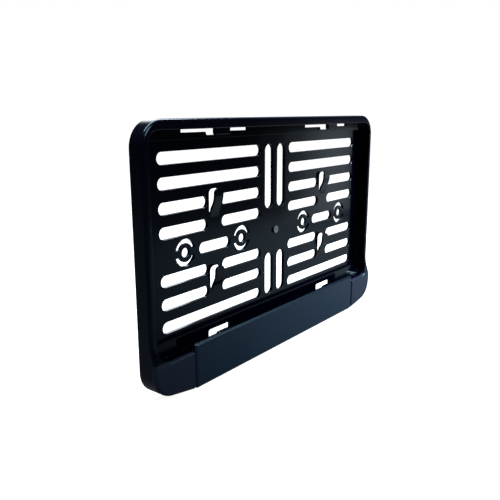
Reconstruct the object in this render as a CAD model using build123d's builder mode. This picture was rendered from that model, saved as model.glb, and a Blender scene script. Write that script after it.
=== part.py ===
from build123d import *
import os

os.makedirs("parts", exist_ok=True)

# Number plate holder for a two-line plate: one moulded frame and a clip-on bottom strip.
# Millimetres. X runs across the holder, Y back towards the car and Z up.
# The origin is on the rear plane, at the middle of the row of screw bosses.
# Every "depth" is measured forwards from that rear plane, towards -Y.

# Plate that the holder takes, and its play in the frame
plate_width = 300.0
plate_height = 160.0
plate_side_play = 4.6
plate_end_play = 1.4

# Frame outline, seen from the front
side_wall = 5.6
bar_height = 30.2
bar_end_lift = 6.9
band_height = 7.4
top_corner_radius = 19.4
bottom_corner_radius = 19.0
cavity_top_radius = 9.0
cavity_bottom_radius = 11.4

# Frame depths
base_thick = 3.0
ledge_rise = 3.2
rim_rise = 10.2
bar_bulge = 4.2
bulge_start_above_sill = 20.0
bulge_turn_above_sill = 6.2
bulge_end_below_sill = 3.0
wall = 2.4
rim_round = 2.7
mouth_bevel = 0.5

# Slots of the base plate
rows_above_bosses = 4
rows_below_bosses = 3
slot_height = 9.0
slot_top_margin = 7.8
slot_bottom_margin = 3.6
slot_inner_x = 20.7
slot_side_margin = 15.9
part_slot_gap = 16.3
boss_slot_length = 36.4
centre_slot_width = 11.6
centre_rib = 6.0
centre_slot_past_row = 2.2
gate_radius = 3.3
gate_rise = 1.5
gate_dimple_radius = 1.2
gate_dimple = 0.5

# Screw bosses
boss_offset = 33.25
boss_hole_radius = 3.5
boss_hole_bevel = 0.6
boss_radius = 7.2
boss_thick = 2.0
boss_gap = 3.3
boss_bridge = 6.0

# Spring tongues that press the plate forwards
tongue_width = 9.8
tongue_thick = 1.8
tongue_rise = 5.0
tongue_length = 18.0
tongue_root = 4.4
tongue_side_gap = 1.5
tongue_window_round = 4.0
tongue_tip_round = 3.4
upper_tongue_above_row = 9.3
lower_tongue_above_row = 1.2

# Ledges above and below the base plate, and the long slots under the top band
top_ledge = 7.2
bottom_ledge = 12.0
top_slot_length = 76.0
top_slot_height = 2.5

# Lugs that the plate's edges go behind, two under the top band and two on the sill
lug_width = 17.4
lug_height = 5.0
lug_thick = 3.1
lug_set_back = 0.4
lug_round = 2.0
lug_bevel = 0.8
lug_bevel_angle = 45.0

# Windows in the ledges behind the lugs
upper_window_side = 3.2
upper_window_past_lug = 0.1
lower_window_side = 4.5
lower_window_past_lug = 1.7
window_round = 1.9

# Clip-on strip, flush with the bottom bar
strip_length = 239.0
strip_wall = 2.4
strip_above_sill = 6.0
strip_slope = 1.4
strip_top_land = 0.4
strip_lip = 2.1
strip_lip_depth = 12.0
strip_gap = 0.3
seam_bevel = 1.5
prong_xs = (40.0, 106.0)
prong_width = 12.0
prong_thick = 2.0
prong_barb = 1.0
prong_past_floor = 2.6
prong_play = 0.5
end_rib_depth = 6.5

# How far a cut runs past a face, and the margin for picking edges by their place
cut_past = 1.0
pick_margin = 0.1

# Places worked out from the sizes above
cavity_half = plate_width / 2 + plate_side_play
frame_half = cavity_half + side_wall
opening_height = plate_height + 2 * plate_end_play
lowest_row = bottom_ledge + slot_bottom_margin + slot_height / 2
highest_row = opening_height - top_ledge - slot_top_margin - slot_height / 2
row_pitch = (highest_row - lowest_row) / (rows_above_bosses + rows_below_bosses)
sill_z = -lowest_row - rows_below_bosses * row_pitch
band_under_z = sill_z + opening_height
top_z = band_under_z + band_height
bottom_z = sill_z - bar_height
bar_floor_z = bottom_z + strip_lip + strip_gap
top_ledge_z = band_under_z - top_ledge
bottom_ledge_z = sill_z + bottom_ledge

base_front = base_thick
ledge_front = base_front + ledge_rise
ledge_back = ledge_front - base_thick
rim_front = base_front + rim_rise
bar_front = rim_front + bar_bulge
strip_back = bar_front - strip_wall
lip_back = bar_front - strip_lip_depth
seat_front = strip_back - strip_gap
tongue_front = base_front + tongue_rise
lug_front = rim_front - lug_set_back
lug_back = lug_front - lug_thick

slot_outer_x = cavity_half - slot_side_margin
column_x = (slot_inner_x + slot_outer_x) / 2
column_length = slot_outer_x - slot_inner_x
part_slot_length = (column_length - part_slot_gap) / 2
centre_slot_x = (centre_rib + centre_slot_width) / 2
centre_slot_start = row_pitch + centre_slot_past_row
centre_slot_spans = (
    (centre_slot_start, rows_above_bosses * row_pitch + slot_height / 2),
    (-rows_below_bosses * row_pitch - slot_height / 2, -centre_slot_start),
)
tongue_tops = (2 * row_pitch + upper_tongue_above_row, lower_tongue_above_row - row_pitch)
columns = [(-column_x, 0), (column_x, 0)]
bosses = [(side * column_x + shift, 0) for side in (-1, 1) for shift in (-boss_offset, boss_offset)]
seat_half = strip_length / 2 + strip_gap
lift_start_x = strip_length / 2 - strip_wall
front_room = bar_front + cut_past
prongs = [side * x for side in (-1, 1) for x in prong_xs]
prong_z = (sill_z + bottom_z) / 2


def face_plane(depth):
    """Sketch plane at a depth in front of the rear plane, X across and Z up."""
    return Plane.XZ.offset(depth)


def box_between(x_span, depth_span, z_span, mode=Mode.ADD):
    """Block between two limits on each axis, added to or cut from the part being built."""
    with BuildSketch(face_plane(depth_span[0])) as block:
        with Locations(((x_span[0] + x_span[1]) / 2, (z_span[0] + z_span[1]) / 2)):
            Rectangle(x_span[1] - x_span[0], z_span[1] - z_span[0])
    extrude(block.sketch, amount=depth_span[1] - depth_span[0], mode=mode)


def rounded_opening(half_width, z_span, bottom_radius, top_radius):
    """Rectangle in the current sketch with one radius at its lower and one at its upper corners."""
    with Locations((0, (z_span[0] + z_span[1]) / 2)):
        Rectangle(2 * half_width, z_span[1] - z_span[0])
    fillet(vertices().group_by(Axis.Y)[-1], top_radius)
    fillet(vertices().group_by(Axis.Y)[0], bottom_radius)


with BuildPart() as frame:
    # Solid blank of the outline, its underside rising from the strip's ends to the corners
    bar_end_z = bottom_z + bar_end_lift
    with BuildSketch(face_plane(0)):
        with BuildLine():
            Polyline(
                (-lift_start_x, bottom_z), (lift_start_x, bottom_z), (frame_half, bar_end_z),
                (frame_half, top_z), (-frame_half, top_z), (-frame_half, bar_end_z), close=True,
            )
        make_face()
        fillet(vertices().group_by(Axis.Y)[-1], top_corner_radius)
        fillet(vertices().filter_by(lambda v: abs(v.Y - bar_end_z) < pick_margin), bottom_corner_radius)
    extrude(amount=bar_front)

    # The rim's front sweeps forwards into the bottom bar along two tangent arcs
    bulge_top_z = sill_z + bulge_start_above_sill
    bulge_turn_z = sill_z + bulge_turn_above_sill
    bulge_end_z = sill_z - bulge_end_below_sill
    turn_share = (bulge_top_z - bulge_turn_z) / (bulge_top_z - bulge_end_z)
    with BuildSketch(Plane.YZ):
        with BuildLine():
            first = Line((-front_room, top_z + cut_past), (-rim_front, top_z + cut_past))
            second = Line(first @ 1, (-rim_front, bulge_top_z))
            turn = (-rim_front - turn_share * bar_bulge, bulge_turn_z)
            third = TangentArc(second @ 1, turn, tangent=(0, -1))
            fourth = TangentArc(third @ 1, (-bar_front, bulge_end_z), tangent=third % 1)
            Line(fourth @ 1, (-front_room, bulge_end_z))
            Line((-front_room, bulge_end_z), first @ 0)
        make_face()
    extrude(amount=frame_half + cut_past, both=True, mode=Mode.SUBTRACT)
    front_edges = edges().filter_by(lambda e: e.center().Y < pick_margin - rim_front)
    across_the_sweep = front_edges.filter_by(Axis.X).filter_by(
        lambda e: bulge_end_z - pick_margin < e.center().Z < bulge_top_z + pick_margin
    )
    fillet(front_edges - across_the_sweep, rim_round)

    # Plate recess: a full opening down to the ledges, then down to the base plate between them
    with BuildSketch(face_plane(ledge_front)):
        rounded_opening(cavity_half, (sill_z, band_under_z), cavity_bottom_radius, cavity_top_radius)
    extrude(amount=front_room - ledge_front, mode=Mode.SUBTRACT)
    mouth_edges = edges().filter_by(
        lambda e: e.center().Y < pick_margin - rim_front
        and abs(e.center().X) < cavity_half + pick_margin
        and sill_z - pick_margin < e.center().Z < band_under_z + pick_margin
    )
    chamfer(mouth_edges, mouth_bevel)
    box_between(
        (-cavity_half, cavity_half), (base_front, ledge_front), (bottom_ledge_z, top_ledge_z), Mode.SUBTRACT
    )

    # Rear side: the ledges, the top band and the bottom bar are cored out
    inner_half = frame_half - wall
    top_core_x = (top_corner_radius - inner_half, inner_half - top_corner_radius)
    box_between(top_core_x, (0, ledge_back), (top_ledge_z + wall, top_z - wall), Mode.SUBTRACT)
    box_between(top_core_x, (0, rim_front - wall), (band_under_z + wall, top_z - wall), Mode.SUBTRACT)
    bar_core_half = inner_half - bottom_corner_radius
    box_between((-seat_half, seat_half), (0, ledge_back), (bottom_z + wall, bottom_ledge_z - wall), Mode.SUBTRACT)

    # Seat of the strip in the bottom bar, between its two closed ends, with a rebate for the lip below
    seat_x = (-seat_half, seat_half)
    box_between(seat_x, (ledge_front, front_room), (bar_floor_z + wall, sill_z - wall), Mode.SUBTRACT)
    box_between(seat_x, (seat_front, front_room), (bottom_z - cut_past, sill_z + cut_past), Mode.SUBTRACT)
    box_between(seat_x, (lip_back - strip_gap, front_room), (bottom_z - cut_past, bar_floor_z), Mode.SUBTRACT)
    core_lift = bar_end_lift * (bar_core_half - lift_start_x) / (frame_half - lift_start_x)
    for side in (-1, 1):
        core_x = sorted((side * (seat_half + wall), side * bar_core_half))
        box_between(core_x, (0, bar_front - wall), (bottom_z + core_lift + wall, sill_z - wall), Mode.SUBTRACT)
    seam_edges = edges().filter_by(Axis.Z).filter_by(
        lambda e: abs(abs(e.center().X) - seat_half) < pick_margin and e.center().Y < pick_margin - bar_front
    )
    chamfer(seam_edges, seam_bevel)

    # Slots through the base plate
    with BuildSketch(face_plane(0)):
        for row in (4, 3, -3):
            with Locations(*[(x, row * row_pitch) for x, _ in columns]):
                SlotOverall(column_length, slot_height)
        part_shift = (part_slot_gap + part_slot_length) / 2
        for row in (2, 1, -1, -2):
            for x, _ in columns:
                with Locations((x - part_shift, row * row_pitch), (x + part_shift, row * row_pitch)):
                    SlotOverall(part_slot_length, slot_height)
        with Locations(*columns):
            SlotOverall(boss_slot_length, slot_height)
        for low, high in centre_slot_spans:
            with Locations((-centre_slot_x, (low + high) / 2), (centre_slot_x, (low + high) / 2)):
                SlotOverall(high - low, centre_slot_width, rotation=90)
    extrude(amount=ledge_front, mode=Mode.SUBTRACT)

    # Screw bosses: a thin ring in a round window, carried by a bridge at each side
    with BuildSketch(face_plane(0)):
        with Locations(*bosses):
            Circle(boss_radius + boss_gap)
    extrude(amount=ledge_front, mode=Mode.SUBTRACT)
    with BuildSketch(face_plane(base_front - boss_thick)):
        with Locations(*bosses):
            Circle(boss_radius)
            Rectangle(2 * (boss_radius + boss_gap) + boss_bridge / 2, boss_bridge)
            Circle(boss_hole_radius, mode=Mode.SUBTRACT)
    extrude(amount=boss_thick)
    hole_edges = edges().filter_by(GeomType.CIRCLE).filter_by(
        lambda e: abs(e.radius - boss_hole_radius) < pick_margin and e.center().Y < pick_margin - base_front
    )
    chamfer(hole_edges, boss_hole_bevel)

    # Stub of the moulding gate at the middle, with a dimple in its end
    with BuildSketch(face_plane(base_front)):
        Circle(gate_radius)
    extrude(amount=gate_rise)
    with BuildSketch(face_plane(base_front + gate_rise)):
        Circle(gate_dimple_radius)
    extrude(amount=-gate_dimple, mode=Mode.SUBTRACT)

    # Windows with spring tongues that rise forwards from their lower ends
    window_width = tongue_width + 2 * tongue_side_gap
    for tongue_top in tongue_tops:
        tongue_foot = tongue_top - tongue_length
        with BuildSketch(face_plane(0)):
            for x, _ in columns:
                with Locations((x, (tongue_top + tongue_foot) / 2)):
                    Rectangle(window_width, tongue_length)
            fillet(vertices().group_by(Axis.Y)[-1], tongue_window_round)
        extrude(amount=ledge_front, mode=Mode.SUBTRACT)
        for x, _ in columns:
            with BuildSketch(Plane.YZ.offset(x)):
                with BuildLine():
                    start = (-base_front, tongue_foot - tongue_root)
                    bend = (-(base_front + tongue_front) / 2, (tongue_foot + tongue_top) / 2 - tongue_root)
                    rise = TangentArc(start, bend, tangent=(0, 1))
                    level = TangentArc(rise @ 1, (-tongue_front, tongue_top - tongue_root), tangent=rise % 1)
                    Line(level @ 1, (-tongue_front, tongue_top))
                    offset(amount=tongue_thick, side=Side.RIGHT)
                make_face()
            extrude(amount=tongue_width / 2, both=True)
    tip_edges = edges().filter_by(Axis.Y).filter_by(
        lambda e: tongue_thick - pick_margin < e.length < tongue_thick + pick_margin
        and e.center().Y < -base_front
        and any(abs(e.center().Z - tongue_top) < pick_margin for tongue_top in tongue_tops)
    )
    fillet(tip_edges, tongue_tip_round)

    # Long slots in the top ledge, close under the band
    with BuildSketch(face_plane(0)):
        with Locations(*[(x, band_under_z - top_slot_height / 2) for x, _ in columns]):
            Rectangle(top_slot_length, top_slot_height)
    extrude(amount=ledge_front, mode=Mode.SUBTRACT)

    # Lugs on the band and on the sill, each in front of a window that lets the mould reach behind it
    lug_rows = (
        (band_under_z, -1, upper_window_side, upper_window_past_lug),
        (sill_z, 1, lower_window_side, lower_window_past_lug),
    )
    for root_z, inwards, window_side, window_past_lug in lug_rows:
        window_height = lug_height + window_past_lug
        lug_reach = lug_height + wall / 2
        with BuildSketch(face_plane(0)):
            with Locations(*[(x, root_z + inwards * window_height / 2) for x, _ in columns]):
                Rectangle(lug_width + 2 * window_side, window_height)
            fillet(vertices().filter_by(lambda v: inwards * (v.Y - root_z) > pick_margin), window_round)
        extrude(amount=ledge_front, mode=Mode.SUBTRACT)
        lug_layers = ((lug_back, lug_thick - lug_bevel, 0), (lug_front - lug_bevel, lug_bevel, lug_bevel_angle))
        for depth, thickness, taper in lug_layers:
            with BuildSketch(face_plane(depth)):
                with Locations(*[(x, root_z + inwards * (lug_height - lug_reach / 2)) for x, _ in columns]):
                    Rectangle(lug_width, lug_reach)
                fillet(vertices().filter_by(lambda v: inwards * (v.Y - root_z) > pick_margin), lug_round)
            extrude(amount=thickness, taper=taper)

    # Openings that the strip's prongs go through
    with BuildSketch(face_plane(0)):
        with Locations(*[(x, prong_z + prong_barb / 2) for x in prongs]):
            Rectangle(prong_width + 2 * prong_play, prong_thick + prong_barb + 2 * prong_play)
    extrude(amount=ledge_front, mode=Mode.SUBTRACT)
frame.part.label = "frame"
export_step(frame.part, "parts/frame.step")


with BuildPart() as clip_strip:
    strip_half = strip_length / 2
    strip_top_z = sill_z + strip_above_sill
    lip_top_z = bottom_z + strip_lip

    # Section: a front wall with a sloping top and a lip that wraps under the frame
    with BuildSketch(Plane.YZ):
        with BuildLine():
            Polyline(
                (-bar_front, bottom_z),
                (-bar_front, strip_top_z - strip_slope),
                (-strip_back - strip_top_land, strip_top_z),
                (-strip_back, strip_top_z),
                (-strip_back, lip_top_z),
                (-lip_back, lip_top_z),
                (-lip_back, bottom_z),
                close=True,
            )
        make_face()
    extrude(amount=strip_half, both=True)
    fillet(edges().filter_by(Axis.X).group_by(Axis.Y)[0].sort_by(Axis.Z)[0], rim_round)
    chamfer(edges().filter_by(Axis.Z).group_by(Axis.Y)[0], seam_bevel)

    # Ribs at both ends, inside the bottom bar
    rib_z = (bar_floor_z + wall + strip_gap, sill_z - wall - strip_gap)
    for side in (-1, 1):
        rib_x = sorted((side * strip_half, side * (strip_half - strip_wall)))
        box_between(rib_x, (strip_back - end_rib_depth, strip_back), rib_z)

    # Snap prongs with barbed ends
    prong_end = ledge_back - prong_past_floor
    for x in prongs:
        with BuildSketch(Plane.YZ.offset(x)):
            with BuildLine():
                low = prong_z - prong_thick / 2
                high = prong_z + prong_thick / 2
                Polyline(
                    (-strip_back, low),
                    (-prong_end, low),
                    (-prong_end, high),
                    (-ledge_back + prong_play, high + prong_barb),
                    (-ledge_back + prong_play, high),
                    (-strip_back, high),
                    close=True,
                )
            make_face()
        extrude(amount=prong_width / 2, both=True)
clip_strip.part.label = "clip_strip"
export_step(clip_strip.part, "parts/clip_strip.step")
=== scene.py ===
"""Looks of a number plate holder: a satin black moulding with a clip-on bottom strip."""

import logging
import math
from dataclasses import dataclass
from enum import Enum

import bmesh
import bpy
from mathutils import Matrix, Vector


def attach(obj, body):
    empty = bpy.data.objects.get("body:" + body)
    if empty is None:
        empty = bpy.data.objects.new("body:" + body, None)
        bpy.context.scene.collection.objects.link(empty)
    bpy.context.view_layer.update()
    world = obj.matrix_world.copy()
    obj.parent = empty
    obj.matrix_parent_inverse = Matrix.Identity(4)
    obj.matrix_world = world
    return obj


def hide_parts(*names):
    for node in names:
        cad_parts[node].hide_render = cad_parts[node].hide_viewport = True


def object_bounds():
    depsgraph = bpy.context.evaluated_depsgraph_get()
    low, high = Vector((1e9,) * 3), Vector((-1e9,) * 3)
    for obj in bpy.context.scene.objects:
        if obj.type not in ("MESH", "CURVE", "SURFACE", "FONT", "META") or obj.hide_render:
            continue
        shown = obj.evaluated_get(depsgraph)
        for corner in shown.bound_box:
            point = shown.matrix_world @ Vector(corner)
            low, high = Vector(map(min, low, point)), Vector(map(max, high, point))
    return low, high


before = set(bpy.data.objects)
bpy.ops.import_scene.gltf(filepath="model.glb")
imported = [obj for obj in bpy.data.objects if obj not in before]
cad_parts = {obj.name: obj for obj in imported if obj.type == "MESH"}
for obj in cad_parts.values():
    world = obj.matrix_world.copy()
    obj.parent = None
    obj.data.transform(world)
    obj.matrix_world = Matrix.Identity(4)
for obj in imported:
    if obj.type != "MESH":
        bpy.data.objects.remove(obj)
cad_low, cad_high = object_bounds()

log = logging.getLogger("plate_holder")

MM = 0.001

Colour = tuple[float, float, float]
Point = tuple[float, float, float]


class Body(Enum):
    """Rigid bodies of the holder that pieces ride on."""

    HOLDER = "holder"
    STRIP = "strip"


class Node(Enum):
    """Solids of the holder in the shared frame."""

    FRAME = "frame"
    STRIP = "clip_strip"


class Slot(Enum):
    """Material slots of the holder's record."""

    FRAME = "frame_plastic"
    STRIP = "strip_plastic"


class TreeKind(Enum):
    """Kinds of node groups that the script builds."""

    SHADER = "ShaderNodeTree"
    GEOMETRY = "GeometryNodeTree"


class Socket(Enum):
    """Kinds of sockets that the groups have."""

    NUMBER = "NodeSocketFloat"
    GEOMETRY = "NodeSocketGeometry"
    MATERIAL = "NodeSocketMaterial"


class Ray(Enum):
    """Light Path outputs that see the plain white surroundings."""

    CAMERA = "Is Camera Ray"
    TRANSMISSION = "Is Transmission Ray"


def settle(piece: bpy.types.Object) -> None:
    """Turns what a piece's modifiers make into its plain mesh, and removes the modifiers.

    Args:
        piece: Piece that is in the scene.
    """
    graph = bpy.context.evaluated_depsgraph_get()
    settled = bpy.data.meshes.new_from_object(piece.evaluated_get(graph))
    piece.modifiers.clear()
    piece.data = settled
    settled.name = piece.name


class NodeTree:
    """Small helper that adds and links the nodes of one node tree."""

    def __init__(self, tree: bpy.types.NodeTree) -> None:
        """Keeps the tree that nodes are added to.

        Args:
            tree: Tree of a material, a world or a group.
        """
        self.tree = tree

    def add(self, kind: str, **values: object) -> bpy.types.Node:
        """Adds a node and sets its own properties.

        Args:
            kind: Node type, such as ShaderNodeMath.
            values: Properties of the node, by name.

        Returns:
            The new node.
        """
        node = self.tree.nodes.new(kind)
        for name, value in values.items():
            setattr(node, name, value)
        return node

    def link(self, source: bpy.types.NodeSocket, target: bpy.types.NodeSocket) -> None:
        """Joins an output socket to an input socket.

        Args:
            source: Output socket.
            target: Input socket.
        """
        self.tree.links.new(source, target)

    def feed(self, target: bpy.types.NodeSocket, value: object) -> None:
        """Links a socket to an input, or sets the input to a plain value.

        Args:
            target: Input socket.
            value: Output socket, number or colour.
        """
        if isinstance(value, bpy.types.NodeSocket):
            self.link(value, target)
        else:
            target.default_value = value

    def object_axes(self) -> dict[str, bpy.types.NodeSocket]:
        """Adds the object coordinates, split into their axes.

        Returns:
            The sockets by axis: X, Y and Z.
        """
        parts = self.add("ShaderNodeSeparateXYZ")
        self.link(self.add("ShaderNodeTexCoord").outputs["Object"], parts.inputs[0])
        return {axis: parts.outputs[axis] for axis in "XYZ"}

    def math(self, operation: str, *values: object) -> bpy.types.NodeSocket:
        """Adds a Math node.

        Args:
            operation: Math operation, such as MULTIPLY.
            values: Sockets or numbers for its inputs, in order.

        Returns:
            The node's output socket.
        """
        node = self.add("ShaderNodeMath", operation=operation)
        for socket, value in zip(node.inputs, values):
            self.feed(socket, value)
        return node.outputs[0]

    def map_range(
        self, value: object, low: object, high: object, to_low: object, to_high: object
    ) -> bpy.types.NodeSocket:
        """Adds a clamped Map Range node with a smooth step.

        Args:
            value: Socket or number that is mapped.
            low: Value that gives to_low.
            high: Value that gives to_high.
            to_low: Result at or below low.
            to_high: Result at or above high.

        Returns:
            The node's result socket.
        """
        node = self.add("ShaderNodeMapRange", interpolation_type="SMOOTHSTEP")
        for socket, given in zip(node.inputs, (value, low, high, to_low, to_high)):
            self.feed(socket, given)
        return node.outputs["Result"]

    def mix_value(self, share: object, first: object, second: object) -> bpy.types.NodeSocket:
        """Adds a Mix node for numbers.

        Args:
            share: Socket or number, 0 for the first value and 1 for the second.
            first: Socket or number.
            second: Socket or number.

        Returns:
            The mixed value's socket.
        """
        return self.mix("FLOAT", "VALUE", share, first, second)

    def mix_colour(self, share: object, first: object, second: object) -> bpy.types.NodeSocket:
        """Adds a Mix node for colours.

        Args:
            share: Socket or number, 0 for the first colour and 1 for the second.
            first: Socket or colour.
            second: Socket or colour.

        Returns:
            The mixed colour's socket.
        """
        colours = [(*c, 1.0) if isinstance(c, tuple) else c for c in (first, second)]
        return self.mix("RGBA", "RGBA", share, *colours)

    def mix(
        self, data: str, socket_type: str, share: object, first: object, second: object
    ) -> bpy.types.NodeSocket:
        """Adds a Mix node for one kind of data.

        Args:
            data: The node's data type.
            socket_type: Type of the sockets that carry that data.
            share: Socket or number, 0 for the first value and 1 for the second.
            first: Socket or value.
            second: Socket or value.

        Returns:
            The mixed value's socket.
        """
        node = self.add("ShaderNodeMix", data_type=data)
        self.feed(node.inputs[0], share)
        ends = [s for s in node.inputs if s.enabled and s.type == socket_type and s.name in ("A", "B")]
        for socket, value in zip(ends, (first, second)):
            self.feed(socket, value)
        return next(s for s in node.outputs if s.enabled)


class NodeGroup:
    """A named node group with its own inputs and outputs, built once."""

    def __init__(
        self, kind: TreeKind, name: str, inputs: dict[str, Socket], outputs: dict[str, Socket]
    ) -> None:
        """Makes the group and its sockets.

        Args:
            kind: Kind of node tree.
            name: Name of the group.
            inputs: Socket kinds by input name.
            outputs: Socket kinds by output name.
        """
        self.group = bpy.data.node_groups.new(name, kind.value)
        for label, socket in inputs.items():
            self.group.interface.new_socket(label, in_out="INPUT", socket_type=socket.value)
        for label, socket in outputs.items():
            self.group.interface.new_socket(label, in_out="OUTPUT", socket_type=socket.value)
        self.tree = NodeTree(self.group)
        self.entry = self.tree.add("NodeGroupInput")
        self.exit = self.tree.add("NodeGroupOutput")

    def given(self, label: str) -> bpy.types.NodeSocket:
        """Returns the socket inside the group that carries one of its inputs.

        Args:
            label: Name of the input.

        Returns:
            The input's socket.
        """
        return self.entry.outputs[label]

    def identifier(self, label: str) -> str:
        """Returns the identifier of one of the group's inputs.

        Args:
            label: Name of the input.

        Returns:
            The identifier that a modifier sets it by.
        """
        return next(
            item.identifier for item in self.group.interface.items_tree
            if item.name == label and item.in_out == "INPUT"
        )

    def place(self, tree: NodeTree, **values: object) -> bpy.types.Node:
        """Puts the group into a material with its own values.

        Args:
            tree: Tree of the material.
            values: Values or sockets by input name, with _ for each space.

        Returns:
            The group's node in that tree.
        """
        node = tree.add("ShaderNodeGroup", node_tree=self.group)
        for name, value in values.items():
            tree.feed(node.inputs[name.replace("_", " ").capitalize()], value)
        return node


class MouldedGrain(NodeGroup):
    """Fine spark-eroded grain of a mould, with slow clouds of gloss over it."""

    FINE_DETAIL: float = 3.0
    CLOUD_DETAIL: float = 2.0
    PITS_PER_GRAIN: float = 0.6
    HEIGHT_SHARE: float = 0.5

    def __init__(self) -> None:
        """Builds the group's nodes."""
        super().__init__(
            TreeKind.SHADER,
            "moulded_grain",
            {"Grain size": Socket.NUMBER, "Cloud size": Socket.NUMBER},
            {"Height": Socket.NUMBER, "Clouds": Socket.NUMBER},
        )
        tree = self.tree
        self.spot = tree.add("ShaderNodeTexCoord").outputs["Object"]
        pits = tree.add("ShaderNodeTexVoronoi", feature="SMOOTH_F1")
        tree.link(self.spot, pits.inputs["Vector"])
        pit_scale = tree.math("DIVIDE", self.PITS_PER_GRAIN, self.given("Grain size"))
        tree.link(pit_scale, pits.inputs["Scale"])
        height = tree.math("ADD", self.noise("Grain size", self.FINE_DETAIL), pits.outputs["Distance"])
        tree.link(tree.math("MULTIPLY", height, self.HEIGHT_SHARE), self.exit.inputs["Height"])
        tree.link(self.noise("Cloud size", self.CLOUD_DETAIL), self.exit.inputs["Clouds"])

    def noise(self, size: str, detail: float) -> bpy.types.NodeSocket:
        """Adds a noise over the object coordinates.

        Args:
            size: Name of the group's input that gives the size of its spots.
            detail: How many finer layers the noise has.

        Returns:
            The noise's value.
        """
        noise = self.tree.add("ShaderNodeTexNoise", noise_dimensions="3D")
        noise.inputs["Detail"].default_value = detail
        self.tree.link(self.spot, noise.inputs["Vector"])
        self.tree.link(self.tree.math("DIVIDE", 1.0, self.given(size)), noise.inputs["Scale"])
        return noise.outputs["Fac"]


class GateScar(NodeGroup):
    """Mask of a round stub that stands forwards of a plane, such as a cut moulding gate."""

    def __init__(self) -> None:
        """Builds the group's nodes."""
        super().__init__(
            TreeKind.SHADER,
            "gate_scar",
            {"Radius": Socket.NUMBER, "Front of": Socket.NUMBER, "Softness": Socket.NUMBER},
            {"Mask": Socket.NUMBER},
        )
        tree = self.tree
        axes = tree.object_axes()
        squares = [tree.math("MULTIPLY", axes[axis], axes[axis]) for axis in "XZ"]
        distance = tree.math("SQRT", tree.math("ADD", *squares))
        inner = tree.math("SUBTRACT", self.given("Radius"), self.given("Softness"))
        inside = tree.map_range(distance, inner, self.given("Radius"), 1.0, 0.0)
        in_front = tree.math("LESS_THAN", axes["Y"], self.given("Front of"))
        tree.link(tree.math("MULTIPLY", inside, in_front), self.exit.inputs["Mask"])


class RegionMask(NodeGroup):
    """Mask of the space inside a box that lies evenly about the middle plane."""

    def __init__(self) -> None:
        """Builds the group's nodes."""
        super().__init__(
            TreeKind.SHADER,
            "region_mask",
            {
                "Half width": Socket.NUMBER, "Low": Socket.NUMBER, "High": Socket.NUMBER,
                "Front": Socket.NUMBER, "Back": Socket.NUMBER,
            },
            {"Mask": Socket.NUMBER},
        )
        tree = self.tree
        axes = tree.object_axes()
        limits = (
            tree.math("LESS_THAN", tree.math("ABSOLUTE", axes["X"]), self.given("Half width")),
            tree.math("GREATER_THAN", axes["Z"], self.given("Low")),
            tree.math("LESS_THAN", axes["Z"], self.given("High")),
            tree.math("GREATER_THAN", axes["Y"], self.given("Front")),
            tree.math("LESS_THAN", axes["Y"], self.given("Back")),
        )
        inside = limits[0]
        for limit in limits[1:]:
            inside = tree.math("MULTIPLY", inside, limit)
        tree.link(inside, self.exit.inputs["Mask"])


@dataclass(frozen=True)
class MaskGroups:
    """Shader groups that the finishes share."""

    grain: MouldedGrain
    scar: GateScar
    region: RegionMask


@dataclass(frozen=True)
class ScarFinish:
    """Pale, rough end of the cut moulding gate.

    Attributes:
        colour: Colour of the cut.
        roughness: Roughness of the cut.
        radius: Radius of the stub.
        front_of: Plane that the stub stands forwards of.
        softness: Width of the edge that fades out.
    """

    colour: Colour
    roughness: float
    radius: float
    front_of: float
    softness: float

    def mask(self, tree: NodeTree, groups: MaskGroups) -> bpy.types.NodeSocket:
        """Adds the mask of the places that have this finish.

        Args:
            tree: Tree of the material.
            groups: Groups that give the masks.

        Returns:
            The mask's socket.
        """
        stub = groups.scar.place(tree, radius=self.radius, front_of=self.front_of, softness=self.softness)
        return stub.outputs["Mask"]


@dataclass(frozen=True)
class RegionFinishAndPaintedLight:
    """Finish of a boxed region of the moulding, where the mould is polished or grained, and whose colour is
    painted shade or painted light there.

    Attributes:
        colour: Colour inside the box, painted shade or painted light where it differs from the moulding's
            own colour.
        roughness: Roughness inside the box.
        half_width: Half of the box's width, about the middle plane.
        low: Bottom of the box.
        high: Top of the box.
        front: Front of the box.
        back: Back of the box.
    """

    colour: Colour
    roughness: float
    half_width: float
    low: float
    high: float
    front: float
    back: float

    def mask(self, tree: NodeTree, groups: MaskGroups) -> bpy.types.NodeSocket:
        """Adds the mask of the places that have this finish.

        Args:
            tree: Tree of the material.
            groups: Groups that give the masks.

        Returns:
            The mask's socket.
        """
        box = groups.region.place(
            tree, half_width=self.half_width, low=self.low, high=self.high, front=self.front, back=self.back
        )
        return box.outputs["Mask"]


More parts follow.
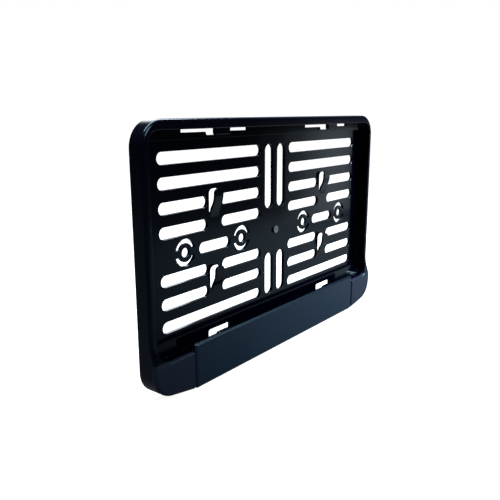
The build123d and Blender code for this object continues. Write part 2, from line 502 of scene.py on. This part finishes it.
@dataclass(frozen=True)
class MouldedPlastic:
    """Finish of one black moulding.

    Attributes:
        name: Name of the material.
        colour: Colour of the plastic.
        cloud_colour: Colour where the slow clouds are full.
        roughness: Roughness of the plastic.
        cloud_roughness: Roughness where the slow clouds are full.
        specular: Level of the gloss.
        specular_tint: Colour of the gloss.
        grain_size: Size of the grain's spots.
        grain_height: Height of the grain.
        cloud_size: Size of the slow clouds.
        layers: Finishes of single places, each over those before it; a boxed region's colour is painted
            shade or painted light.
        cloud_from: Noise value at which the clouds begin.
        cloud_full: Noise value at which the clouds are full.
    """

    name: str
    colour: Colour
    cloud_colour: Colour
    roughness: float
    cloud_roughness: float
    specular: float
    specular_tint: Colour
    grain_size: float
    grain_height: float
    cloud_size: float
    layers: tuple[RegionFinishAndPaintedLight | ScarFinish, ...] = ()
    cloud_from: float = 0.3
    cloud_full: float = 0.7

    def material(self, groups: MaskGroups) -> bpy.types.Material:
        """Makes the material from the shared groups.

        Args:
            groups: Groups that give the grain and the masks.

        Returns:
            The new material.
        """
        material = bpy.data.materials.new(self.name)
        material.use_nodes = True
        tree = NodeTree(material.node_tree)
        shader = material.node_tree.nodes["Principled BSDF"]
        texture = groups.grain.place(tree, grain_size=self.grain_size, cloud_size=self.cloud_size)
        clouds = tree.map_range(texture.outputs["Clouds"], self.cloud_from, self.cloud_full, 0.0, 1.0)
        colour = tree.mix_colour(clouds, self.colour, self.cloud_colour)
        roughness = tree.mix_value(clouds, self.roughness, self.cloud_roughness)
        for layer in self.layers:
            mask = layer.mask(tree, groups)
            # A boxed region's colour paints shade or light onto that region, over the moulding's own
            # colour.
            colour = tree.mix_colour(mask, colour, layer.colour)
            roughness = tree.mix_value(mask, roughness, layer.roughness)
        tree.link(colour, shader.inputs["Base Color"])
        tree.link(roughness, shader.inputs["Roughness"])
        shader.inputs["Specular IOR Level"].default_value = self.specular
        shader.inputs["Specular Tint"].default_value = (*self.specular_tint, 1.0)
        bump = tree.add("ShaderNodeBump")
        bump.inputs["Strength"].default_value = 1.0
        bump.inputs["Distance"].default_value = self.grain_height
        tree.link(texture.outputs["Height"], bump.inputs["Height"])
        tree.link(bump.outputs["Normal"], shader.inputs["Normal"])
        return material


@dataclass
class RoundedMoulding:
    """A moulding whose form is its solid, with the fine edge rounding that a mould leaves.

    Attributes:
        node: Solid that the piece stands for.
        body: Body that the piece rides on.
        slot: Material slot of the piece; not used.
        piece_name: Name of the piece.
        edge_round: Width of the rounding on each side of a sharp edge.
        edge_segments: Faces across the rounding.
        sharp_from: Angle from which an edge is rounded.
        merge_within: Distance within which the solid's points are merged.
        flat_within: Angle within which faces count as one flat face.
        smooth_within: Angle up to which the shading runs on over an edge.
        flat_weight: How much the large faces decide the shading.
    """

    node: Node
    body: Body
    slot: Slot
    piece_name: str
    edge_round: float = 0.25 * MM
    edge_segments: int = 2
    sharp_from: float = math.radians(32)
    merge_within: float = 0.002 * MM
    flat_within: float = math.radians(0.4)
    smooth_within: float = math.radians(60)
    flat_weight: int = 80

    def rounded_mesh(self) -> bpy.types.Mesh:
        """Makes a merged copy of the solid's mesh and rounds its sharp edges.

        Returns:
            The new mesh.
        """
        shape = bmesh.new()
        shape.from_mesh(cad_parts[self.node.value].data)
        bmesh.ops.remove_doubles(shape, verts=shape.verts, dist=self.merge_within)
        bmesh.ops.dissolve_limit(
            shape, angle_limit=self.flat_within, verts=shape.verts, edges=shape.edges, delimit={"NORMAL"}
        )
        sharp = [e for e in shape.edges if e.is_manifold and e.calc_face_angle() > self.sharp_from]
        bmesh.ops.bevel(
            shape, geom=sharp, offset=self.edge_round, offset_type="OFFSET", segments=self.edge_segments,
            profile=0.5, affect="EDGES", clamp_overlap=False, harden_normals=False,
        )
        mesh = bpy.data.meshes.new(self.piece_name)
        shape.to_mesh(mesh)
        shape.free()
        return mesh

    def build(self) -> bpy.types.Object:
        """Builds the piece, with shading that keeps its large faces flat.

        Returns:
            The piece, which stands for the solid.
        """
        mesh = self.rounded_mesh()
        mesh.shade_smooth()
        mesh.set_sharp_from_angle(angle=self.smooth_within)
        piece = bpy.data.objects.new(self.piece_name, mesh)
        bpy.context.scene.collection.objects.link(piece)
        flat_faces = piece.modifiers.new("flat_faces", "WEIGHTED_NORMAL")
        flat_faces.mode = "FACE_AREA"
        flat_faces.weight = self.flat_weight
        flat_faces.keep_sharp = True
        settle(piece)
        return piece

    def dress(self, piece: bpy.types.Object, material: bpy.types.Material) -> None:
        """Gives the piece its finish and its place in the frame.

        Args:
            piece: The built piece.
            material: Its finish.
        """
        piece.data.materials.clear()
        piece.data.materials.append(material)
        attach(piece, self.body.value)
        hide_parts(self.node.value)


class MarkField(NodeGroup):
    """Geometry group that puts a flat disc on each point, facing backwards."""

    SIDES: int = 32

    def __init__(self) -> None:
        """Builds the group's nodes."""
        super().__init__(
            TreeKind.GEOMETRY,
            "mark_field",
            {
                "Points": Socket.GEOMETRY, "Radius": Socket.NUMBER, "Thickness": Socket.NUMBER,
                "Finish": Socket.MATERIAL,
            },
            {"Marks": Socket.GEOMETRY},
        )
        tree = self.tree
        disc = tree.add("GeometryNodeMeshCylinder")
        disc.inputs["Vertices"].default_value = self.SIDES
        tree.link(self.given("Radius"), disc.inputs["Radius"])
        tree.link(self.given("Thickness"), disc.inputs["Depth"])
        spread = tree.add("GeometryNodeInstanceOnPoints")
        tree.link(self.given("Points"), spread.inputs["Points"])
        tree.link(disc.outputs["Mesh"], spread.inputs["Instance"])
        spread.inputs["Rotation"].default_value = (math.pi / 2, 0.0, 0.0)
        solid = tree.add("GeometryNodeRealizeInstances")
        tree.link(spread.outputs["Instances"], solid.inputs["Geometry"])
        finish = tree.add("GeometryNodeSetMaterial")
        tree.link(solid.outputs["Geometry"], finish.inputs["Geometry"])
        tree.link(self.given("Finish"), finish.inputs["Material"])
        tree.link(finish.outputs["Geometry"], self.exit.inputs["Marks"])


@dataclass
class EjectorMarks:
    """Round marks that the mould's ejector pins leave on the back of the strip's seat.

    Attributes:
        body: Body that the marks ride on.
        slot: Material slot of the marks; not used.
        piece_name: Name of the piece.
        columns: Distances of the marks from the middle plane, for both sides.
        rows: Heights of the marks.
        seat_back: Rear plane of the seat.
        radius: Radius of a mark.
        proud: How far a mark stands out of the seat.
        sunk: How far a mark reaches into the seat.
    """

    body: Body
    slot: Slot
    piece_name: str = "ejector_marks"
    columns: tuple[float, ...] = (0.0, 22.0 * MM, 62.0 * MM, 84.0 * MM)
    rows: tuple[float, ...] = (-80.0 * MM, -96.0 * MM)
    seat_back: float = -3.2 * MM
    radius: float = 2.2 * MM
    proud: float = 0.15 * MM
    sunk: float = 0.1 * MM

    def build(self, material: bpy.types.Material) -> bpy.types.Object:
        """Builds all marks as one mesh.

        Args:
            material: Finish of the moulding that carries them.

        Returns:
            The piece.
        """
        middle = self.seat_back + (self.proud - self.sunk) / 2
        across = sorted({side * x for x in self.columns for side in (-1, 1)})
        points = bpy.data.meshes.new(self.piece_name)
        points.from_pydata([(x, middle, z) for x in across for z in self.rows], [], [])
        piece = bpy.data.objects.new(self.piece_name, points)
        field = MarkField()
        marks = piece.modifiers.new("marks", "NODES")
        marks.node_group = field.group
        marks[field.identifier("Radius")] = self.radius
        marks[field.identifier("Thickness")] = self.proud + self.sunk
        marks[field.identifier("Finish")] = material
        bpy.context.scene.collection.objects.link(piece)
        settle(piece)
        return piece

    def dress(self, piece: bpy.types.Object) -> None:
        """Gives the marks their place in the frame.

        Args:
            piece: The built piece.
        """
        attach(piece, self.body.value)


@dataclass
class Lamp:
    """Studio lamp that faces a point, out of the camera's sight.

    Attributes:
        name: Name of the lamp.
        place: Where the lamp is.
        faces: Point that it faces.
        colour: Colour of its light.
    """

    name: str
    place: Point
    faces: Point
    colour: Colour

    def add(self, light: bpy.types.Light) -> None:
        """Puts the lamp's light into the scene.

        Args:
            light: Light with its own size and power.
        """
        light.color = self.colour
        lamp = bpy.data.objects.new(self.name, light)
        lamp.location = self.place
        aim = Vector(self.faces) - Vector(self.place)
        lamp.rotation_euler = aim.to_track_quat("-Z", "Y").to_euler()
        lamp.visible_camera = False
        bpy.context.scene.collection.objects.link(lamp)


@dataclass
class Softbox(Lamp):
    """Oblong lamp with an even face.

    Attributes:
        width: Width of the face.
        height: Height of the face.
        radiance: Brightness of the face.
    """

    width: float
    height: float
    radiance: float

    def build(self) -> None:
        """Adds the lamp to the scene."""
        light = bpy.data.lights.new(self.name, "AREA")
        light.shape = "RECTANGLE"
        light.size, light.size_y = self.width, self.height
        light.energy = self.radiance * math.pi * self.width * self.height
        self.add(light)


@dataclass
class FloorSpot(Lamp):
    """Spot lamp that lays a soft pool of light on the floor.

    Attributes:
        cone: Full angle of the cone.
        power: Power of the lamp.
        blend: Share of the cone that fades out.
        lamp_radius: Radius of the lamp itself.
    """

    cone: float
    power: float
    blend: float = 1.0
    lamp_radius: float = 0.08

    def build(self) -> None:
        """Adds the lamp to the scene."""
        light = bpy.data.lights.new(self.name, "SPOT")
        light.energy = self.power
        light.spot_size = self.cone
        light.spot_blend = self.blend
        light.shadow_soft_size = self.lamp_radius
        self.add(light)


@dataclass
class CardFan:
    """Upright bright cards to the right of the holder, which overlap so that they brighten in steps.

    Attributes:
        name: Name of the fan, and start of each card's name.
        steps: Left edge and brightness of each card.
        right_edge: Right edge of all cards.
        depth: Distance in front of the holder's back, as a place on the Y axis.
        spacing: Distance from one card to the next.
        middle: Height of the cards' middle.
        height: Height of each card.
        colour: Colour of their light.
    """

    name: str = "card"
    steps: tuple[tuple[float, float], ...] = ((0.37, 0.08), (0.45, 0.24), (0.52, 0.33), (0.575, 0.30))
    right_edge: float = 0.70
    depth: float = -0.30
    spacing: float = 0.004
    middle: float = -0.015
    height: float = 0.17
    colour: Colour = (0.90, 0.96, 1.0)

    def build(self) -> None:
        """Adds the cards to the scene, each a little further forwards than the last."""
        for index, (left_edge, radiance) in enumerate(self.steps):
            across = (left_edge + self.right_edge) / 2
            card = Softbox(
                name=f"{self.name}_{index}",
                place=(across, self.depth - index * self.spacing, self.middle),
                faces=(across, 0.0, self.middle),
                colour=self.colour,
                width=self.right_edge - left_edge,
                height=self.height,
                radiance=radiance,
            )
            card.build()


@dataclass
class Studio:
    """Pale floor, white surroundings and soft lamps.

    Attributes:
        lamps: Lamps beside the key lamp.
        floor_half: Half of the floor's width.
        floor_colour: Colour of the floor in the holder's gloss.
        floor_seen_colour: Colour of the floor for the camera.
        floor_lift: Light of its own that makes the floor white for the camera.
        dark_side: Colour of most of the surroundings in the gloss.
        bright_side: Colour of their bright side in the gloss.
        bright_towards: Direction of the bright side.
        bright_from: Cosine of the angle from that direction at which the bright side begins.
        bright_full: Cosine of the angle at which it is full.
        key_from: Direction that the key lamp's light comes from.
        key_level: Level of the key lamp.
        key_spread: Angle that the key lamp fills.
    """

    lamps: tuple[Softbox | FloorSpot | CardFan, ...]
    floor_half: float = 40.0
    floor_colour: Colour = (0.075, 0.075, 0.075)
    floor_seen_colour: Colour = (0.30, 0.30, 0.30)
    floor_lift: float = 0.92
    dark_side: Colour = (0.025, 0.026, 0.029)
    bright_side: Colour = (0.30, 0.36, 0.44)
    bright_towards: Point = (0.77, 0.50, 0.42)
    bright_from: float = 0.85
    bright_full: float = 0.99
    key_from: Point = (-0.12, -0.72, 0.68)
    key_level: float = 1.9
    key_spread: float = math.radians(30)

    def build(self) -> None:
        """Builds the floor, the world and the lamps."""
        self.build_floor()
        self.build_world()
        self.build_key()
        for lamp in self.lamps:
            lamp.build()
            log.info("lamp %s", lamp.name)

    def build_key(self) -> None:
        """Adds the wide soft key lamp, which lights the whole floor evenly."""
        lamp = bpy.data.lights.new("key_lamp", "SUN")
        lamp.energy = self.key_level
        lamp.angle = self.key_spread
        key = bpy.data.objects.new("key_lamp", lamp)
        key.rotation_euler = (-Vector(self.key_from)).to_track_quat("-Z", "Y").to_euler()
        bpy.context.scene.collection.objects.link(key)

    def build_floor(self) -> None:
        """Lays the floor under the lowest point of the holder."""
        shape = bmesh.new()
        bmesh.ops.create_grid(shape, x_segments=1, y_segments=1, size=self.floor_half)
        bmesh.ops.translate(shape, verts=shape.verts, vec=(0.0, 0.0, cad_low.z))
        mesh = bpy.data.meshes.new("floor")
        shape.to_mesh(mesh)
        shape.free()
        floor = bpy.data.objects.new("floor", mesh)
        bpy.context.scene.collection.objects.link(floor)
        mesh.materials.append(self.floor_material())

    def floor_material(self) -> bpy.types.Material:
        """Makes the floor's paper: a pale diffuse surface, lifted to white for the camera.

        Returns:
            The floor's material.
        """
        material = bpy.data.materials.new("studio_paper")
        material.use_nodes = True
        tree = NodeTree(material.node_tree)
        material.node_tree.nodes.clear()
        paper = tree.add("ShaderNodeBsdfDiffuse")
        lift = tree.add("ShaderNodeEmission")
        path = tree.add("ShaderNodeLightPath")
        seen = path.outputs[Ray.CAMERA.value]
        tree.link(tree.mix_colour(seen, self.floor_colour, self.floor_seen_colour), paper.inputs["Color"])
        tree.link(tree.math("MULTIPLY", seen, self.floor_lift), lift.inputs["Strength"])
        both = tree.add("ShaderNodeAddShader")
        tree.link(paper.outputs[0], both.inputs[0])
        tree.link(lift.outputs[0], both.inputs[1])
        output = tree.add("ShaderNodeOutputMaterial")
        tree.link(both.outputs[0], output.inputs["Surface"])
        return material

    def build_world(self) -> None:
        """Surrounds the holder with white for the camera and with a soft bright side for its gloss."""
        world = bpy.data.worlds.new("studio_surroundings")
        bpy.context.scene.world = world
        world.use_nodes = True
        world.node_tree.nodes.clear()
        tree = NodeTree(world.node_tree)
        facing = tree.add("ShaderNodeVectorMath", operation="DOT_PRODUCT")
        tree.link(tree.add("ShaderNodeTexCoord").outputs["Generated"], facing.inputs[0])
        facing.inputs[1].default_value = Vector(self.bright_towards).normalized()
        share = tree.map_range(facing.outputs["Value"], self.bright_from, self.bright_full, 0.0, 1.0)
        surroundings = tree.add("ShaderNodeBackground")
        tree.link(tree.mix_colour(share, self.dark_side, self.bright_side), surroundings.inputs["Color"])
        white = tree.add("ShaderNodeBackground")
        white.inputs["Color"].default_value = (1.0, 1.0, 1.0, 1.0)
        path = tree.add("ShaderNodeLightPath")
        sees_white = tree.math("MAXIMUM", *[path.outputs[ray.value] for ray in Ray])
        chosen = tree.add("ShaderNodeMixShader")
        tree.link(sees_white, chosen.inputs["Fac"])
        tree.link(surroundings.outputs[0], chosen.inputs[1])
        tree.link(white.outputs[0], chosen.inputs[2])
        output = tree.add("ShaderNodeOutputWorld")
        tree.link(chosen.outputs[0], output.inputs["Surface"])


@dataclass
class Camera:
    """Camera at the photograph's angle, placed round the point that it looks at.

    Attributes:
        target: Point in the middle of the picture.
        azimuth: Angle about the Z axis, 0 for a look along +Y.
        elevation: Angle above the level.
        distance: Distance from the target.
        roll: Turn about the line of sight.
        lens: Focal length in millimetres.
        sensor: Width of the sensor in millimetres.
        clip_start: Nearest distance that is seen.
    """

    target: Point = (-35.89 * MM, -3.0 * MM, -12.29 * MM)
    azimuth: float = math.radians(-51.94)
    elevation: float = math.radians(13.21)
    distance: float = 498.3 * MM
    roll: float = math.radians(-0.18)
    lens: float = 42.454
    sensor: float = 36.0
    clip_start: float = 0.01

    def build(self) -> None:
        """Adds the camera and makes it the scene's own."""
        data = bpy.data.cameras.new("camera")
        data.lens = self.lens
        data.sensor_width = self.sensor
        data.clip_start = self.clip_start
        camera = bpy.data.objects.new("camera", data)
        back = Vector(
            (
                math.sin(self.azimuth) * math.cos(self.elevation),
                -math.cos(self.azimuth) * math.cos(self.elevation),
                math.sin(self.elevation),
            )
        )
        camera.location = Vector(self.target) + back * self.distance
        camera.rotation_euler = (-back).to_track_quat("-Z", "Y").to_euler()
        camera.rotation_euler.rotate_axis("Z", self.roll)
        bpy.context.scene.collection.objects.link(camera)
        bpy.context.scene.camera = camera


# Polished inside of the frame; its colour is painted shade, darker than the moulding's own colour, for the
# shade in the recess.
POLISHED_RECESS_PAINTED_SHADE = RegionFinishAndPaintedLight(
    colour=(0.0001, 0.0002, 0.0018),
    roughness=0.11,
    half_width=154.8 * MM,
    low=-73.1 * MM,
    high=90.1 * MM,
    front=-13.0 * MM,
    back=-0.5 * MM,
)
# Grained bottom bar; its colour is painted reflection, lighter and bluer than the moulding's own colour,
# for the floor mirrored in the bar.
GRAINED_BAR_PAINTED_REFLECTION = RegionFinishAndPaintedLight(
    colour=(0.0085, 0.0125, 0.0250),
    roughness=0.34,
    half_width=161.0 * MM,
    low=-104.0 * MM,
    high=-71.0 * MM,
    front=-18.0 * MM,
    back=-13.4 * MM,
)
CUT_GATE = ScarFinish(
    colour=(0.13, 0.145, 0.155),
    roughness=0.6,
    radius=3.4 * MM,
    front_of=-3.3 * MM,
    softness=0.4 * MM,
)
# Smoother sloping top of the strip; its colour is painted shade, darker than the strip's own colour, for
# the dark reflection on the slope.
SMOOTH_SLOPE_PAINTED_SHADE = RegionFinishAndPaintedLight(
    colour=(0.0002, 0.0008, 0.0050),
    roughness=0.22,
    half_width=161.0 * MM,
    low=-68.3 * MM,
    high=-66.0 * MM,
    front=-18.0 * MM,
    back=1.0 * MM,
)
FRAME_FINISH = MouldedPlastic(
    name="satin_black_moulding",
    colour=(0.0008, 0.0010, 0.0042),
    cloud_colour=(0.0010, 0.0013, 0.0052),
    roughness=0.17,
    cloud_roughness=0.21,
    specular=0.30,
    specular_tint=(0.46, 0.75, 1.0),
    grain_size=0.35 * MM,
    grain_height=0.001 * MM,
    cloud_size=45.0 * MM,
    layers=(POLISHED_RECESS_PAINTED_SHADE, GRAINED_BAR_PAINTED_REFLECTION, CUT_GATE),
)
STRIP_FINISH = MouldedPlastic(
    name="fine_grained_strip",
    colour=(0.0028, 0.0082, 0.0200),
    cloud_colour=(0.0032, 0.0092, 0.0222),
    roughness=0.32,
    cloud_roughness=0.40,
    specular=0.50,
    specular_tint=(0.46, 0.78, 1.0),
    grain_size=0.5 * MM,
    grain_height=0.004 * MM,
    cloud_size=60.0 * MM,
    layers=(SMOOTH_SLOPE_PAINTED_SHADE,),
)
LAMPS = (
    Softbox(
        name="overhead_strip",
        place=(0.08, 0.25, 0.85),
        faces=(0.08, 0.0, 0.09),
        colour=(0.84, 0.92, 1.0),
        width=1.3,
        height=0.30,
        radiance=17.0,
    ),
    Softbox(
        name="rear_fill",
        place=(0.55, 0.95, 0.55),
        faces=(0.0, 0.0, 0.0),
        colour=(0.90, 0.95, 1.0),
        width=0.5,
        height=0.5,
        radiance=4.0,
    ),
    FloorSpot(
        name="floor_spot",
        place=(0.66, -0.50, 0.96),
        faces=(0.318, -0.10, -0.103),
        colour=(0.78, 0.94, 1.0),
        cone=math.radians(39.5),
        power=330.0,
    ),
    CardFan(),
)


def report(piece: bpy.types.Object) -> None:
    """Logs a finished piece.

    Args:
        piece: The piece.
    """
    log.info("piece %s: %d faces", piece.name, len(piece.data.polygons))


def main() -> None:
    """Builds the holder's looks, the studio and the camera."""
    logging.basicConfig(level=logging.INFO, format="%(name)s: %(message)s")
    bpy.context.scene.view_settings.view_transform = "Standard"
    groups = MaskGroups(MouldedGrain(), GateScar(), RegionMask())
    frame_plastic = FRAME_FINISH.material(groups)
    strip_plastic = STRIP_FINISH.material(groups)
    mouldings = (
        (RoundedMoulding(Node.FRAME, Body.HOLDER, Slot.FRAME, "frame_moulding"), frame_plastic),
        (RoundedMoulding(Node.STRIP, Body.STRIP, Slot.STRIP, "strip_moulding"), strip_plastic),
    )
    for moulding, material in mouldings:
        piece = moulding.build()
        moulding.dress(piece, material)
        report(piece)
    marks = EjectorMarks(Body.HOLDER, Slot.FRAME)
    piece = marks.build(frame_plastic)
    marks.dress(piece)
    report(piece)
    Studio(LAMPS).build()
    Camera().build()


if __name__ == "__main__":
    main()
